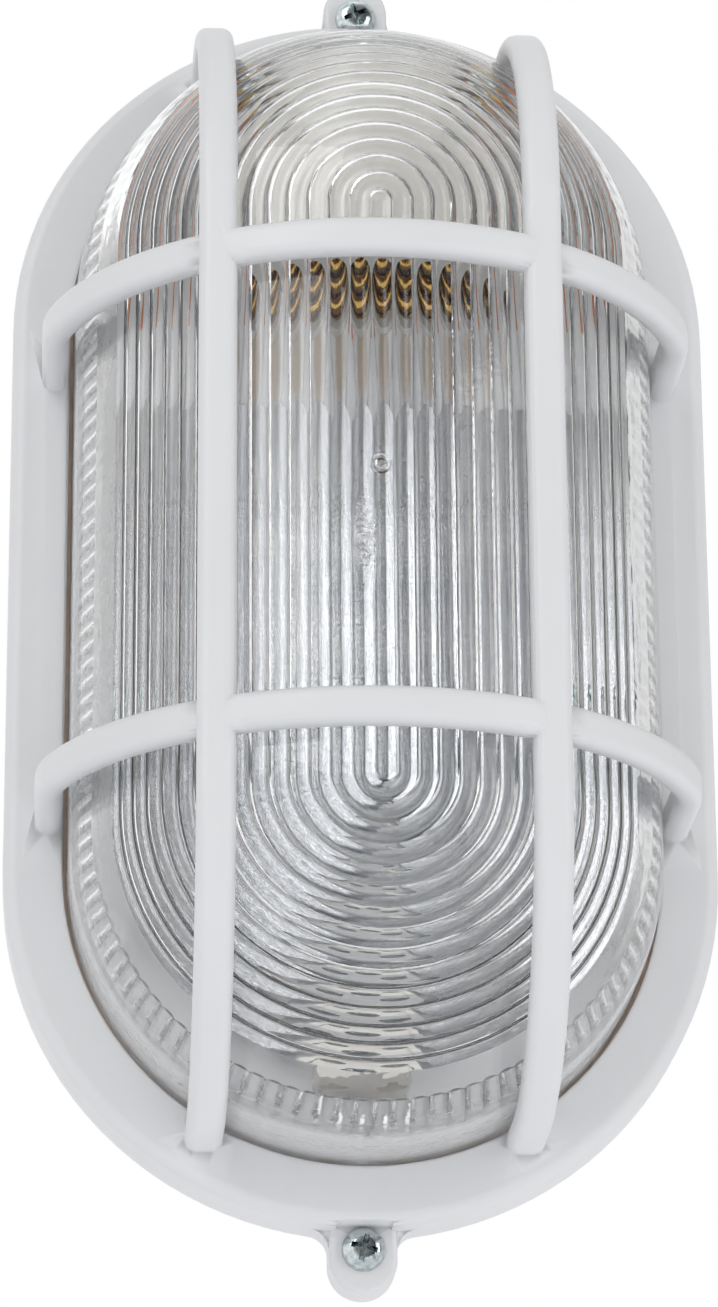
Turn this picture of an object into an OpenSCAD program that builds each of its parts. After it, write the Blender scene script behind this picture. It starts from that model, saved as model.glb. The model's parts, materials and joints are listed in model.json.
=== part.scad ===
// Oval bulkhead wall light: a shallow moulded base, a pressed glass with concentric ribs inside, and a one-piece
// white guard whose four bars arch over the glass. The origin is the centre of the back face on the wall plane.
// X runs to the right, Z runs up and the light stands out from the wall along -Y. A depth is a distance from the wall.

/* [Outline] */
// Distance between the centres of the two round ends
end_spacing = 93.8; // [80:0.1:110]
// Radius of the flange's round ends, half its width
flange_r = 57.5; // [52:0.1:65]
// Width of the flange's flat face, from its edge to the opening
flange_w = 9.5; // [9:0.1:11]
// Gap between the flange and the glass
glass_gap = 0.8; // [0.5:0.05:1.2]

/* [Guard] */
// Distance of the flange's front face from the wall
flange_depth = 12; // [11.5:0.1:14]
// Thickness of the flange plate
flange_t = 2.4; // [1.8:0.1:2.8]
// Thickness of the skirt that reaches back to the wall
skirt_t = 2.2; // [1.5:0.1:2.6]
// Radius of the rounded shoulder between the flange and the skirt
shoulder_r = 2.4; // [1.6:0.1:3]
// Gap between the skirt's edge and the wall
skirt_gap = 0.6; // [0.3:0.1:1.5]
// Gap between the skirt and the base inside it
skirt_clearance = 0.3; // [0.2:0.05:0.6]

/* [Guard bars] */
// Width of each bar
bar_w = 6; // [5:0.1:7]
// Thickness of each bar
bar_t = 4.3; // [3.7:0.1:5]
// Radius of the bars' rounded edges
bar_edge = 1.8; // [0.6:0.1:1.8]
// Gap between the bars and the glass
bar_gap = 1.05; // [0.6:0.05:2]
// Distance of the two upright bars from the middle
upright_x = 25.3; // [22:0.1:28]
// Distance of the two cross bars from the middle
cross_z = 38.3; // [30:0.1:44]
// How much larger the cross bars' crown radius is than the glass
cross_flatten = 5.3; // [4:0.1:8]
// Radius where a cross bar turns into its leg
cross_corner_r = 19; // [14:0.1:21]
// How much larger the uprights' corner radius is than the glass beside them
upright_flatten = 1.4; // [1:0.1:2]

/* [Glass] */
// Thickness of the glass between its ribs
glass_t = 3; // [2.4:0.1:3.4]
// Depth of the dome's centre line
dome_depth = 18.6; // [17:0.1:20.5]
// Height of a rib inside the glass
rib_h = 0.5; // [0.3:0.05:1.1]
// Angle from one rib to the next round the dome
rib_pitch = 4; // [3:0.25:8]
// Number of ribs from the crown to the smooth band
rib_count = 16; // [6:1:16]
// Thickness of the rim that the guard holds
rim_t = 2.8; // [2:0.1:3]

/* [Seal] */
// Thickness of the seal under the glass
seal_t = 2; // [1.4:0.1:2.2]
// Thickness of the seal's lip over the rim
seal_lip = 0.6; // [0.4:0.05:0.8]
// Thickness of the seal's outer wall
seal_wall = 1.2; // [0.8:0.1:1.5]
// Gap between the seal and the glass beside it
seal_gap = 0.3; // [0.1:0.05:0.5]
// Gap between the seal and the base's rim
seal_clearance = 0.5; // [0.3:0.05:0.8]

/* [Base] */
// Thickness of the base's floor and of its rim
base_t = 2.4; // [2:0.1:2.6]
// Depth of the hollow in the back face
back_hollow = 0.8; // [0.4:0.1:1]
// Width of the solid band round the back face
back_band = 6; // [4:0.1:8]
// Width of the ribs across the back face
back_rib_w = 2; // [1.5:0.1:3]
// Radius of a wall screw hole
wall_hole_r = 2.25; // [1.8:0.05:2.5]
// Radius of the pad round a wall screw hole
wall_pad_r = 4.4; // [3.8:0.1:4.6]
// Height of that pad above the floor
wall_pad_h = 1; // [0.5:0.1:1.5]

/* [Ears and cover screws] */
// Distance from the flange's edge to a cover screw
screw_offset = 2.9; // [2.7:0.1:3.4]
// Width of an ear
ear_w = 10.8; // [10.2:0.1:12]
// Distance of an ear's front face from the wall
ear_depth = 7.4; // [7:0.1:8.4]
// Thickness of an ear's walls
ear_wall = 1.7; // [1.4:0.1:1.8]
// Distance from a cover screw to the centre of the ear's round end
ear_reach = 1.5; // [0.5:0.1:2]
// Radius of the fillets between an ear and the skirt
ear_fillet = 3.5; // [2:0.1:5]
// Radius of the ear's rounded front edge
ear_round = 0.9; // [0.3:0.1:1.3]
// Width of the recess in the skirt behind a cover screw
recess_w = 8.8; // [8:0.1:9]
// Radius of a cover screw's shank
screw_r = 1.75; // [1.4:0.05:1.9]
// Radius of a cover screw's head
screw_head_r = 3.5; // [3:0.05:3.8]
// Height of a cover screw's head
screw_head_h = 2.4; // [1.8:0.1:2.8]

/* [Lampholder] */
// Depth of the lamp's axis
lamp_depth = 31; // [28:0.1:34]
// Distance from the lampholder's foot to the end of the glass
holder_clearance = 11.1; // [10.5:0.1:14]
// Outer radius of the porcelain cup
cup_r = 18.5; // [17.5:0.1:20]
// Length of the porcelain cup
cup_h = 25.5; // [22:0.1:29]
// Radius of the porcelain foot behind the cup
foot_r = 12.5; // [12:0.1:13.5]
// Length of the porcelain foot
foot_h = 9; // [8.4:0.1:10]
// Inner radius of the brass shell that takes the lamp cap
shell_r = 13.4; // [13.2:0.05:13.6]
// Thickness of the brass shell
shell_t = 0.5; // [0.3:0.05:0.6]
// Thickness of the bracket's sheet
plate_t = 1.2; // [0.8:0.1:1.6]
// Width of the bracket's upright
bracket_w = 14; // [12:0.5:18]
// Distance of the bracket's two screws from the middle
bracket_screw_x = 24; // [22:0.5:25]

/* [Reflector] */
// Gap between the reflector's side edges and the glass
reflector_gap = 6.7; // [5:0.1:9]
// Thickness of the reflector sheet
reflector_t = 0.5; // [0.4:0.1:0.8]
// Height of the centre crease above the lands
crease_h = 3.7; // [2.5:0.1:4]
// Height of the side lips above the lands
lip_h = 4.3; // [3:0.1:5]
// Width of the flat lands that the screws hold
land_w = 5.8; // [4.8:0.1:7]

/* [Terminals and leads] */
// Width of the terminal block
block_w = 15.6; // [15:0.1:17]
// Length of the terminal block
block_l = 24.5; // [22.5:0.1:25]
// Height of the terminal block above the floor
block_h = 12.5; // [12:0.1:14]
// Radius of the hole that the wall cable comes through
cable_r = 3.6; // [3:0.1:4.2]
// Distance of the two poles from the block's middle
pole_x = 4.5; // [4.4:0.1:4.8]
// Outer radius of a pole's brass tube
tube_r = 2.4; // [2.1:0.1:2.5]
// Distance of the leads' straight runs from the middle
lead_x = 12; // [11:0.5:14]
// How far a lead bows out beside the lampholder
lead_bow = 10; // [8:0.5:11]
// Radius of a lead's sleeve
lead_r = 1.1; // [0.8:0.05:1.15]

/* [Hidden] */
$fn = 96;
eps = 0.01;

white = [0.86, 0.87, 0.88];
clear_glass = [0.78, 0.82, 0.83, 0.45];
rubber_brown = [0.42, 0.33, 0.27];
aluminium = [0.78, 0.79, 0.8];
porcelain = [0.9, 0.88, 0.83];
brass = [0.78, 0.6, 0.27];
zinc = [0.7, 0.73, 0.74];
steel = [0.66, 0.67, 0.68];
beige = [0.78, 0.73, 0.66];
black_rubber = [0.12, 0.12, 0.12];
sleeve_brown = [0.62, 0.33, 0.15];

half_l = end_spacing / 2;
far = 200;
cut_over = 1;
flat_gap = 0.2;

// Outline, from the flange's edge inwards
skirt_inner_r = flange_r - skirt_t;
opening_r = flange_r - flange_w;
base_r = skirt_inner_r - skirt_clearance;
base_rim_inner_r = base_r - base_t;
seal_outer_r = base_rim_inner_r - seal_clearance;
rim_r = seal_outer_r - seal_wall - seal_gap;
glass_r = opening_r - glass_gap;
glass_inner_r = glass_r - glass_t;
glass_clear_r = glass_inner_r - rib_h;
seal_inset = 2.3;
seal_inner_r = glass_inner_r + seal_inset;
ledge_inner_r = seal_inner_r - seal_clearance;

// Depths, from the flange back to the wall
flange_under = flange_depth - flange_t;
opening_chamfer = 0.4;
rim_front = flange_under - seal_lip;
rim_back = rim_front - rim_t;
seal_back = rim_back - seal_t;
base_rim_depth = flange_under - flat_gap;

// Ribs
rib_chord = 2 * glass_inner_r * sin(rib_pitch / 2);
rib_r = (pow(rib_chord / 2, 2) + pow(rib_h, 2)) / (2 * rib_h);
rib_sides = 36;

// Cross bars
bar_root = 0.6;
bar_inset = 3.1;
cross_foot_x = glass_r + bar_gap + bar_t / 2;
cross_crown_depth = dome_depth + glass_r + bar_gap + bar_t / 2;
cross_crown_r = glass_r + cross_flatten;
cross_crown_centre = cross_crown_depth - cross_crown_r;
cross_corner_x = cross_foot_x - cross_corner_r;
cross_corner_rise = sqrt(pow(cross_crown_r - cross_corner_r, 2) - pow(cross_corner_x, 2));
cross_corner_depth = cross_crown_centre + cross_corner_rise;
cross_turn = atan2(cross_corner_rise, cross_corner_x);

// Upright bars, set by the glass under their inner edge
upright_glass_r = sqrt(pow(glass_r, 2) - pow(upright_x - bar_w / 2, 2));
upright_depth = dome_depth + upright_glass_r + bar_gap + bar_t / 2 - 0.1;
upright_foot_z = half_l + sqrt(pow(opening_r, 2) - pow(upright_x, 2)) + bar_inset;
upright_corner_r = upright_glass_r + upright_flatten;
upright_corner_depth = upright_depth - upright_corner_r;
upright_corner_z = upright_foot_z - upright_corner_r;

// Ears
screw_z = half_l + flange_r + screw_offset;
ear_end_z = screw_z + ear_reach;
ear_fillet_x = ear_w / 2 + ear_fillet;
ear_fillet_z = half_l + sqrt(pow(flange_r + ear_fillet, 2) - pow(ear_fillet_x, 2));
ear_tangent = [0, half_l] + flange_r / (flange_r + ear_fillet) * [ear_fillet_x, ear_fillet_z - half_l];
ear_sink = 0.3;
ear_start_z = half_l + skirt_inner_r + ear_sink;
recess_clearance = 0.3;
recess_z = screw_z - screw_head_r - recess_clearance + 0.1;
ear_inner_w = ear_w - 2 * ear_wall;
ear_boss_r = ear_inner_w / 2 - 0.3;
ear_boss_depth = ear_depth - ear_wall - flat_gap / 2;
ear_web_w = 4.4;
ear_web_depth = 3;
screw_hole_r = screw_r + 0.2;
pilot_clearance = 0.03;
pass_clearance = 0.15;
pilot_floor = 0.8;
tip_gap = 0.2;

// Wall holes
wall_pad_inset = 1;
wall_hole_z = half_l + ledge_inner_r - wall_pad_r - wall_pad_inset;

// Lampholder, hung from the glass's upper end
foot_top_z = half_l + glass_clear_r - holder_clearance;
cup_top_z = foot_top_z - foot_h;
mouth_z = cup_top_z - cup_h;
cup_bore_r = shell_r + shell_t + 0.2;
cup_floor_t = 2;
cup_bore_h = cup_h - cup_floor_t;
cup_round = 1.6;
shell_inset = 1.5;
shell_eye_r = 6;
contact_w = 4.4;
contact_half_l = 4.6;
contact_drop = 4.4;
contact_t = 0.5;
holder_screw_offset = 8;
holder_screw_r = 1.5;
holder_head_r = 2.6;
holder_head_h = 1.7;
bracket_edge = 2.8;
bracket_foot_l = 10;
bracket_foot_half_w = bracket_screw_x + bracket_foot_l / 2;
bracket_drop = 13.5;
bracket_foot_z = foot_top_z - bracket_drop;
bracket_screw_z = bracket_foot_z + bracket_foot_l / 2;
small_screw_r = 1.5;
small_head_r = 2.8;
small_head_h = 1.9;
post_r = 3.4;
post_h = 1;
bracket_post_depth = base_t + post_h;
terminal_size = [4.6, 6.4, 6.6];
terminal_z = foot_top_z - foot_h / 2 + 0.1;
terminal_face = lamp_depth + terminal_size[1] / 2;
terminal_screw_r = 1.2;
terminal_head_r = 2;
terminal_head_h = 1.4;

// Reflector
reflector_half_w = glass_clear_r - reflector_gap;
reflector_trim = 0.5;
land_rise = 0.9;
land_depth = bracket_post_depth + land_rise;
reflector_wing_w = 10.4;
land_out = reflector_half_w - reflector_wing_w;
land_in = land_out - land_w;
reflector_screw_x = (land_in + land_out) / 2;
reflector_screw_z = -15;
mouth_gap = 9;
reflector_top_z = mouth_z - mouth_gap;
reflector_end_inset = 3.9;
reflector_end_z = reflector_end_inset - half_l;

// Terminal block and cable entry
block_end_gap = 9.1;
block_z = block_end_gap + block_l / 2 - glass_clear_r - half_l;
block_top_z = block_z + block_l / 2;
block_round = 1.2;
block_top_depth = base_t + block_h;
tube_wall = 0.8;
tube_bore_r = tube_r - tube_wall;
tube_rise = 3;
tube_depth = base_t + tube_rise + tube_r;
tube_end_gap = 1.25;
tube_l = block_l - 2 * tube_end_gap;
tube_screw_offset = block_l / 4;
tube_screw_r = 1.3;
tube_head_r = 1.8;
tube_head_h = 2.2;
tube_well_r = tube_head_r + 0.2;
block_hole_r = 1.4;
block_screw_r = 1.25;
block_screw_head_r = 2.3;
block_screw_head_h = 1.7;
block_screw_seat = tube_depth + tube_r + 1.3;
notch_side = 1.7;
notch_top = 8;
grommet_r = 6.5;
grommet_gap = 0.15;
grommet_collar = 2;
grommet_lip = 2.1;
grommet_flange_r = grommet_r + grommet_lip;
grommet_flange_t = 1.4;
grommet_rise = 27;
grommet_z = block_top_z + grommet_rise;

// The right lead's route, from the terminal block to the lampholder: x, depth, z
lead_floor = base_t + lead_r + flat_gap;
lead_gap = 0.3;
lead_drop = 18;
lead_rise_z = reflector_top_z - 4;
lead_bow_x = cup_r + lead_bow;
lead_end_x = foot_r + terminal_size[0] + lead_gap;

// Shares of the way from the reflector's top edge to the lampholder's terminal: across, outwards, upwards
lead_shares = [[0.1, 0.03, 0.19], [0.6, 0.16, 0.42], [0.97, 0.34, 0.65], [1.03, 0.63, 0.88], [0.83, 0.91, 0.99]];
lead_route = concat(
    [for (t = [0, 0.16, 0.34, 0.6, 1]) [
        mix(pole_x, lead_x, ease(t)),
        mix(tube_depth, lead_floor, ease(min(1, 1.6 * t))),
        block_top_z + lead_gap + lead_drop * t]],
    [[lead_x, lead_floor, (block_top_z + lead_rise_z) / 2], [lead_x, lead_floor, lead_rise_z]],
    [for (q = lead_shares) [
        mix(lead_x, lead_bow_x, q[0]),
        mix(lead_floor, lamp_depth, q[1]),
        mix(lead_rise_z, terminal_z, q[2])]],
    [[lead_end_x + 4, lamp_depth, terminal_z], [lead_end_x, lamp_depth, terminal_z]]);
lead_sides = 8;
lead_steps = 3;

// A value part of the way from a to b
function mix(a, b, t) = a + (b - a) * t;

// A smooth start and stop between 0 and 1
function ease(t) = t * t * (3 - 2 * t);

// Turns a flat outline (x to X, y to Z) into a plate that reaches from depth near to depth away
module plate(near, away) {
    translate([0, -near, 0])
        rotate([90, 0, 0])
            linear_extrude(away - near)
                children();
}

// Sweeps a profile (distance out from the centre line, depth) round the oval
module oval_sweep() {
    for (side = [0, 1])
        translate([0, 0, half_l * (1 - 2 * side)])
            rotate([90, 0, 0])
                rotate_extrude(angle = 180, start = 180 * side)
                    children();
    for (side = [0, 1])
        mirror([side, 0, 0])
            mirror([0, 1, 0])
                linear_extrude(end_spacing, center = true)
                    children();
}

// A rectangle in the profile plane between two radii and two depths
module band(r_in, r_out, near, away) {
    translate([r_in, near])
        square([r_out - r_in, away - near]);
}

// Points along an arc, both ends included
function arc_points(c, r, from, to, steps) =
    [for (i = [0:steps]) let (a = from + (to - from) * i / steps) [c[0] + r * cos(a), c[1] + r * sin(a)]];

// A rectangle with rounded corners, centred
function round_rect(w, h, r, steps) = concat(
    arc_points([w / 2 - r, h / 2 - r], r, 0, 90, steps),
    arc_points([r - w / 2, h / 2 - r], r, 90, 180, steps),
    arc_points([r - w / 2, r - h / 2], r, 180, 270, steps),
    arc_points([w / 2 - r, r - h / 2], r, 270, 360, steps));

// A cylinder whose axis runs along the depth
module post(r, near, away) {
    plate(near, away)
        circle(r);
}

// Base: a shallow oval tray with a ledge for the seal and two bosses for the cover screws
module base_housing() {
    color(white)
        difference() {
            union() {
                oval_sweep()
                    union() {
                        band(0, base_r, back_hollow, base_t);
                        band(base_r - back_band, base_r, 0, base_t);
                        band(base_rim_inner_r, base_r, base_t - eps, base_rim_depth);
                        band(ledge_inner_r, base_r, base_t - eps, seal_back);
                    }
                for (z = [-half_l, 0, half_l])
                    plate(0, base_t)
                        translate([0, z])
                            square([2 * (base_r - back_band + eps), back_rib_w], center = true);
                for (s = [-1, 1])
                    translate([0, 0, s * wall_hole_z])
                        post(wall_pad_r, 0, base_t + wall_pad_h);
                for (s = [-1, 1])
                    ear_boss(s);
                for (s = [-1, 1])
                    translate([s * bracket_screw_x, 0, bracket_screw_z])
                        post(post_r, 0, bracket_post_depth);
                for (s = [-1, 1])
                    translate([s * reflector_screw_x, 0, reflector_screw_z])
                        post(post_r, 0, land_depth - reflector_t);
                translate([0, 0, block_z])
                    post(post_r, 0, base_t);
                translate([0, 0, grommet_z])
                    post(grommet_r + grommet_collar, 0, base_t);
            }
            for (s = [-1, 1])
                translate([0, 0, s * wall_hole_z])
                    post(wall_hole_r, -cut_over, base_t + wall_pad_h + cut_over);
            for (s = [-1, 1])
                translate([0, 0, s * screw_z])
                    post(screw_r + pilot_clearance, pilot_floor, ear_boss_depth + cut_over);
            for (s = [-1, 1])
                translate([s * bracket_screw_x, 0, bracket_screw_z])
                    post(small_screw_r + pilot_clearance, pilot_floor, bracket_post_depth + cut_over);
            for (s = [-1, 1])
                translate([s * reflector_screw_x, 0, reflector_screw_z])
                    post(small_screw_r + pilot_clearance, pilot_floor, land_depth + cut_over);
            translate([0, 0, block_z])
                post(block_screw_r + pilot_clearance, pilot_floor, base_t + cut_over);
            translate([0, 0, grommet_z])
                post(grommet_r, -cut_over, base_t + cut_over);
        }
}

// Boss for one cover screw, joined to the tray by a web
module ear_boss(s) {
    translate([0, 0, s * screw_z])
        post(ear_boss_r, 0, ear_boss_depth);
    plate(0, ear_web_depth)
        translate([-ear_web_w / 2, s > 0 ? half_l + base_r - cut_over : -screw_z])
            square([ear_web_w, screw_z - half_l - base_r + cut_over]);
}

// Hollow under one ear, open to the tray
module ear_hollow() {
    plate(-cut_over, ear_depth - ear_wall) {
        translate([0, screw_z])
            circle(ear_inner_w / 2);
        translate([-ear_inner_w / 2, half_l + skirt_inner_r - cut_over])
            square([ear_inner_w, screw_z - half_l - skirt_inner_r + cut_over]);
    }
}

// Solid ear with a rounded front edge and fillets into the skirt
module ear_solid() {
    half = concat([[ear_w / 2, skirt_gap]],
        arc_points([ear_w / 2 - ear_round, ear_depth - ear_round], ear_round, 0, 90, 4));
    translate([0, 0, ear_end_z])
        rotate([90, 0, 0])
            rotate_extrude()
                polygon(concat([[0, skirt_gap]], half, [[0, ear_depth]]));
    translate([0, 0, ear_start_z])
        mirror([0, 1, 0])
            linear_extrude(ear_end_z - ear_start_z)
                polygon(concat(half, [for (i = [len(half) - 1:-1:0]) [-half[i][0], half[i][1]]]));
    plate(skirt_gap, ear_depth - ear_round)
        difference() {
            polygon([[-ear_tangent[0], ear_start_z], [ear_tangent[0], ear_start_z], ear_tangent,
                [ear_fillet_x, ear_fillet_z], [-ear_fillet_x, ear_fillet_z], [-ear_tangent[0], ear_tangent[1]]]);
            for (s = [-1, 1])
                translate([s * ear_fillet_x, ear_fillet_z])
                    circle(ear_fillet);
        }
}

// One arched bar in its own plane: x across, y as depth, its width along z
module arched_bar(foot, corner_r, corner_centre, crown_r, crown_centre, turn) {
    section = round_rect(bar_t, bar_w, bar_edge, 4);
    for (side = [0, 1])
        mirror([side, 0, 0]) {
            translate([foot, flange_depth - bar_root, 0])
                rotate([-90, 0, 0])
                    linear_extrude(corner_centre[1] - flange_depth + bar_root)
                        polygon(section);
            translate([corner_centre[0], corner_centre[1], 0])
                rotate_extrude(angle = turn)
                    translate([corner_r, 0])
                        polygon(section);
        }
    if (crown_r > 0)
        translate([0, crown_centre, 0])
            rotate_extrude(angle = 180 - 2 * turn, start = turn)
                translate([crown_r, 0])
                    polygon(section);
    else
        translate([-corner_centre[0], corner_centre[1] + corner_r, 0])
            rotate([0, 90, 0])
                linear_extrude(2 * corner_centre[0])
                    polygon([for (p = section) [p[1], p[0]]]);
}

// Guard: flange, skirt, ears and the four bars of the cage, in one moulding
module guard_frame() {
    color(white) {
        difference() {
            union() {
                oval_sweep()
                    polygon(concat(
                        [[opening_r, flange_under], [opening_r, flange_depth - opening_chamfer],
                            [opening_r + opening_chamfer, flange_depth]],
                        arc_points([flange_r - shoulder_r, flange_depth - shoulder_r], shoulder_r, 90, 0, 6),
                        [[flange_r, skirt_gap], [skirt_inner_r, skirt_gap], [skirt_inner_r, flange_under]]));
                for (s = [0, 1])
                    mirror([0, 0, s])
                        ear_solid();
            }
            for (s = [0, 1])
                mirror([0, 0, s]) {
                    ear_hollow();
                    translate([0, 0, screw_z])
                        post(screw_hole_r, 0, ear_depth + cut_over);
                    plate(ear_depth, flange_depth + cut_over)
                        translate([-recess_w / 2, recess_z])
                            square([recess_w, screw_z - recess_z]);
                }
        }
        for (s = [-1, 1])
            translate([0, 0, s * cross_z])
                mirror([0, 1, 0])
                    arched_bar(cross_foot_x, cross_corner_r, [cross_corner_x, cross_corner_depth],
                        cross_crown_r, cross_crown_centre, cross_turn);
        for (s = [-1, 1])
            translate([s * upright_x, 0, 0])
                rotate([0, -90, 0])
                    mirror([0, 1, 0])
                        arched_bar(upright_foot_z, upright_corner_r, [upright_corner_z, upright_corner_depth],
                            0, 0, 90);
    }
}

// Glass: a dome on a straight wall, with a rim that the guard traps and round ribs on its inner face
module glass_lens() {
    color(clear_glass)
        oval_sweep()
            intersection() {
                union() {
                    difference() {
                        union() {
                            translate([0, dome_depth])
                                circle(glass_r, $fn = 180);
                            band(0, glass_r, rim_back, dome_depth);
                            band(0, rim_r, rim_back, rim_front);
                        }
                        translate([0, dome_depth])
                            circle(glass_inner_r, $fn = 180);
                        band(-eps, glass_inner_r, -far, dome_depth);
                    }
                    intersection() {
                        for (i = [0:rib_count - 1])
                            translate([0, dome_depth])
                                rotate(90 - i * rib_pitch)
                                    translate([glass_inner_r + rib_r - rib_h, 0])
                                        circle(rib_r, $fn = rib_sides);
                        translate([0, dome_depth])
                            circle(glass_inner_r + glass_t / 2, $fn = 180);
                    }
                }
                band(0, far, rim_back, far);
            }
}

// Seal: a channel round the glass's rim, whose front lip lies between the rim and the guard
module lens_seal() {
    color(rubber_brown)
        oval_sweep()
            polygon([[seal_inner_r, seal_back], [seal_outer_r, seal_back], [seal_outer_r, flange_under],
                [glass_r + seal_gap, flange_under], [glass_r + seal_gap, rim_front],
                [rim_r + seal_gap, rim_front], [rim_r + seal_gap, rim_back], [seal_inner_r, rim_back]]);
}

// Reflector: a thin sheet folded along its middle, with a round lower end notched round the terminal block
module reflector() {
    half = [[0, land_depth + crease_h], [land_in, land_depth], [land_out, land_depth],
        [reflector_half_w, land_depth + lip_h]];
    upper = concat([for (i = [len(half) - 1:-1:1]) [-half[i][0], half[i][1]]], half);
    lower = [for (i = [len(upper) - 1:-1:0]) [upper[i][0], upper[i][1] - reflector_t]];
    color(aluminium)
        difference() {
            intersection() {
                mirror([0, 1, 0])
                    translate([0, 0, -far / 2])
                        linear_extrude(far)
                            polygon(concat(upper, lower));
                plate(0, far)
                    union() {
                        translate([0, reflector_end_z])
                            circle(reflector_half_w - reflector_trim);
                        translate([reflector_trim - reflector_half_w, reflector_end_z])
                            square([2 * (reflector_half_w - reflector_trim), reflector_top_z - reflector_end_z]);
                    }
            }
            plate(0, far)
                translate([-block_w / 2 - notch_side, -far])
                    square([block_w + 2 * notch_side, far + block_top_z + notch_top]);
            for (s = [-1, 1])
                translate([s * reflector_screw_x, 0, reflector_screw_z])
                    post(small_screw_r + pass_clearance, 0, far);
        }
}

// A pan-head screw along the depth: its head stands on the seat and its tip lies at the given depth
module pan_screw(seat, tip, r, head_r, head_h) {
    dome_r = head_h * 0.6;
    point = r * 0.2;
    difference() {
        rotate([90, 0, 0])
            rotate_extrude()
                polygon(concat([[0, tip], [r - point, tip], [r, tip + 2 * point], [r, seat], [head_r, seat]],
                    arc_points([head_r - dome_r, seat + head_h - dome_r], dome_r, 0, 90, 5),
                    [[0, seat + head_h]]));
        for (a = [0, 90])
            translate([0, -seat - head_h, 0])
                rotate([0, a, 0])
                    cube([head_r * 1.15, head_h * 1.1, head_r * 0.25], center = true);
    }
}

// Reflector screws
module reflector_screw(s) {
    color(zinc)
        translate([s * reflector_screw_x, 0, reflector_screw_z])
            pan_screw(land_depth, pilot_floor + tip_gap, small_screw_r, small_head_r, small_head_h);
}

// Bracket screws
module bracket_screw(s) {
    color(zinc)
        translate([s * bracket_screw_x, 0, bracket_screw_z])
            pan_screw(bracket_post_depth + plate_t, pilot_floor + tip_gap, small_screw_r, small_head_r,
                small_head_h);
}

// Cover screws
module cover_screw(s) {
    color(zinc)
        translate([0, 0, s * screw_z])
            pan_screw(ear_depth, pilot_floor + tip_gap, screw_r, screw_head_r, screw_head_h);
}

// Moves a shape modelled round +Z with its mouth at 0 to the lamp's axis
module on_lamp_axis() {
    translate([0, -lamp_depth, mouth_z])
        children();
}

// Porcelain body: a cup for the shell and a narrower foot that the bracket carries
module lampholder_body() {
    color(porcelain)
        difference() {
            on_lamp_axis()
                rotate_extrude()
                    difference() {
                        polygon(concat([[0, 0]],
                            arc_points([cup_r - cup_round, cup_round], cup_round, -90, 0, 4),
                            arc_points([cup_r - cup_round, cup_h - cup_round], cup_round, 0, 90, 4),
                            [[foot_r, cup_h], [foot_r, cup_h + foot_h], [0, cup_h + foot_h]]));
                        translate([0, -cut_over])
                            square([cup_bore_r, cup_bore_h + cut_over]);
                    }
            for (s = [-1, 1])
                translate([0, s * holder_screw_offset - lamp_depth, cup_top_z + pilot_floor])
                    cylinder(r = holder_screw_r + pilot_clearance, h = foot_h);
        }
}

// Brass shell that takes the lamp cap
module lampholder_shell() {
    color(brass)
        on_lamp_axis()
            rotate_extrude()
                polygon([[shell_r, shell_inset], [shell_r + shell_t, shell_inset], [shell_r + shell_t, cup_bore_h],
                    [shell_eye_r, cup_bore_h], [shell_eye_r, cup_bore_h - shell_t], [shell_r, cup_bore_h - shell_t]]);
}

// Centre contact: a bent strip that presses on the lamp's tip
module centre_contact() {
    low = cup_bore_h - contact_drop;
    color(brass)
        on_lamp_axis()
            translate([0, contact_w / 2, 0])
                rotate([90, 0, 0])
                    linear_extrude(contact_w)
                        polygon([[-contact_half_l, cup_bore_h], [contact_half_l, cup_bore_h],
                            [contact_half_l, cup_bore_h - contact_t], [contact_t - contact_half_l * 0.85, cup_bore_h - contact_t],
                            [contact_half_l / 2, low], [contact_half_l / 2, low - contact_t],
                            [contact_half_l / 3, low - contact_t], [-contact_half_l, cup_bore_h - contact_t * 1.6]]);
}

// Bracket: a foot on two posts of the base and an upright plate behind the porcelain foot
module lampholder_bracket() {
    color(steel)
        difference() {
            union() {
                plate(bracket_post_depth, bracket_post_depth + plate_t)
                    translate([-bracket_foot_half_w, bracket_foot_z])
                        square([2 * bracket_foot_half_w, bracket_foot_l]);
                plate(bracket_post_depth, bracket_post_depth + plate_t)
                    translate([-bracket_w / 2, bracket_foot_z])
                        square([bracket_w, foot_top_z + plate_t - bracket_foot_z]);
                plate(bracket_post_depth, lamp_depth + holder_screw_offset + bracket_edge)
                    translate([-bracket_w / 2, foot_top_z])
                        square([bracket_w, plate_t]);
            }
            for (s = [-1, 1])
                translate([s * bracket_screw_x, 0, bracket_screw_z])
                    post(small_screw_r + pass_clearance, 0, far);
            for (s = [-1, 1])
                translate([0, s * holder_screw_offset - lamp_depth, foot_top_z - cut_over])
                    cylinder(r = holder_screw_r + pass_clearance, h = plate_t + 2 * cut_over);
        }
}

// Screws through the bracket into the porcelain foot
module lampholder_screw(s) {
    color(zinc)
        translate([0, s * holder_screw_offset - lamp_depth, foot_top_z + plate_t])
            rotate([-90, 0, 0])
                pan_screw(0, pilot_floor + tip_gap - foot_h - plate_t, holder_screw_r, holder_head_r, holder_head_h);
}

// Brass terminal on the side of the porcelain foot
module holder_terminal(s) {
    color(brass)
        translate([s * (foot_r + terminal_size[0] / 2), 0, terminal_z])
            difference() {
                translate([0, -lamp_depth, 0])
                    cube(terminal_size, center = true);
                post(terminal_screw_r + pilot_clearance, lamp_depth, terminal_face + cut_over);
            }
}

// Terminal screws, one on each brass terminal
module holder_terminal_screws() {
    color(zinc)
        for (s = [-1, 1])
            translate([s * (foot_r + terminal_size[0] / 2), 0, terminal_z])
                pan_screw(terminal_face, lamp_depth + tip_gap, terminal_screw_r, terminal_head_r, terminal_head_h);
}

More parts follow.
